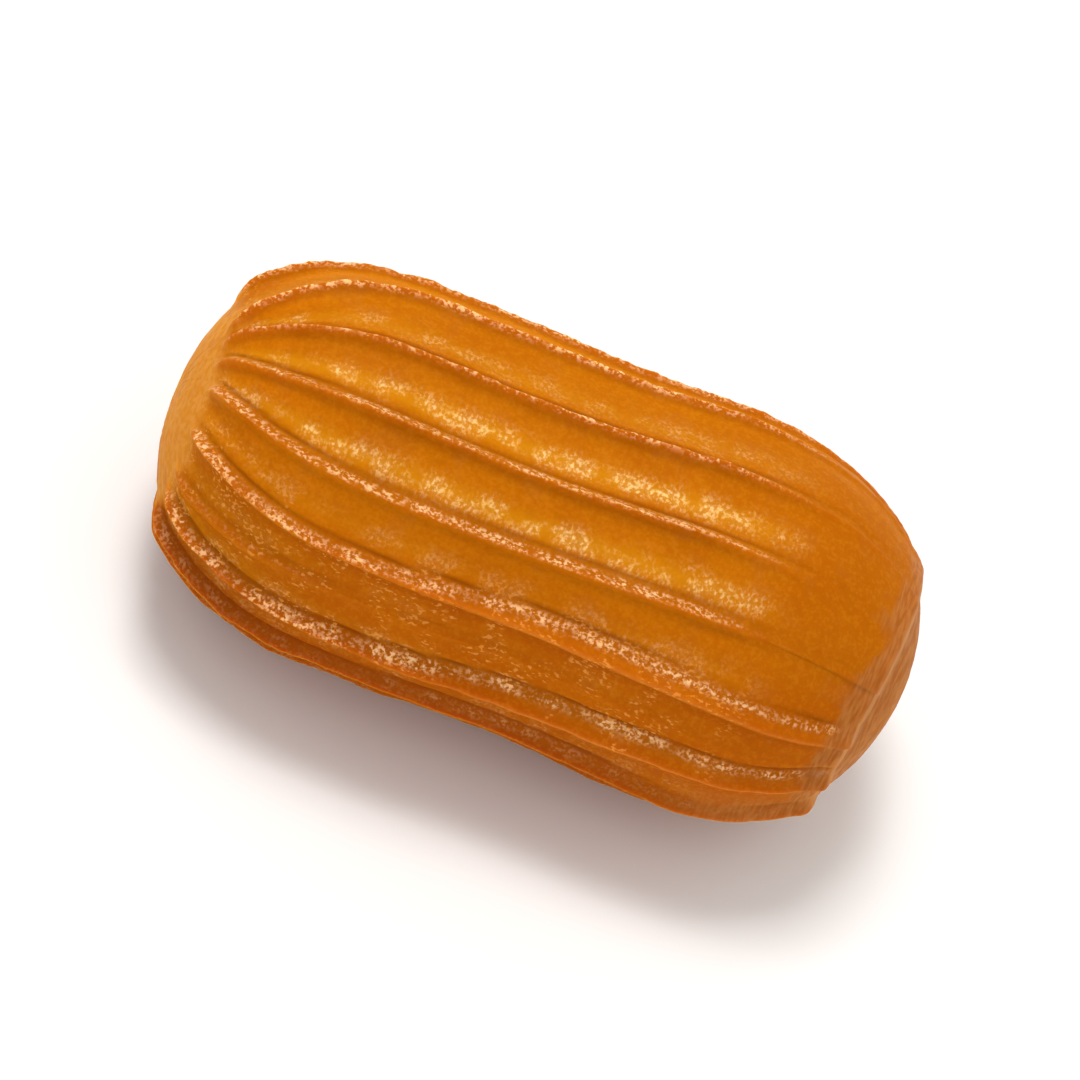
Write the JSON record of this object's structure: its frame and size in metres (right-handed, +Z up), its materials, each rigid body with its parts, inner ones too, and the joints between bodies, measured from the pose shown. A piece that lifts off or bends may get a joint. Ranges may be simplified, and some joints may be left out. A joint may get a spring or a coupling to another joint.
{
  "type": "tulumba",
  "caption": "Short ridged finger of fried choux dough glazed with syrup, with broad flutes along its sides and a smooth low dome at each end.",
  "frame": {"origin": "middle of the underside of the bounding box, on the surface that the finger rests on", "axes": "+X along the finger, from the end with the full rim of ridge tips to the end where the upper ridges melt away; +Z up from the surface it rests on; -Y towards the side with the weak ridge"},
  "size_m": [0.054, 0.0282, 0.0274],
  "materials": {
    "syrup_crust": "fried dough crust soaked in syrup: amber in the flutes, browner and drier on the ridges, paler on the end domes, glossy and slightly see-through"
  },
  "bodies": {
    "root": {"tulumba": "syrup_crust"}
  },
  "joints": []
}
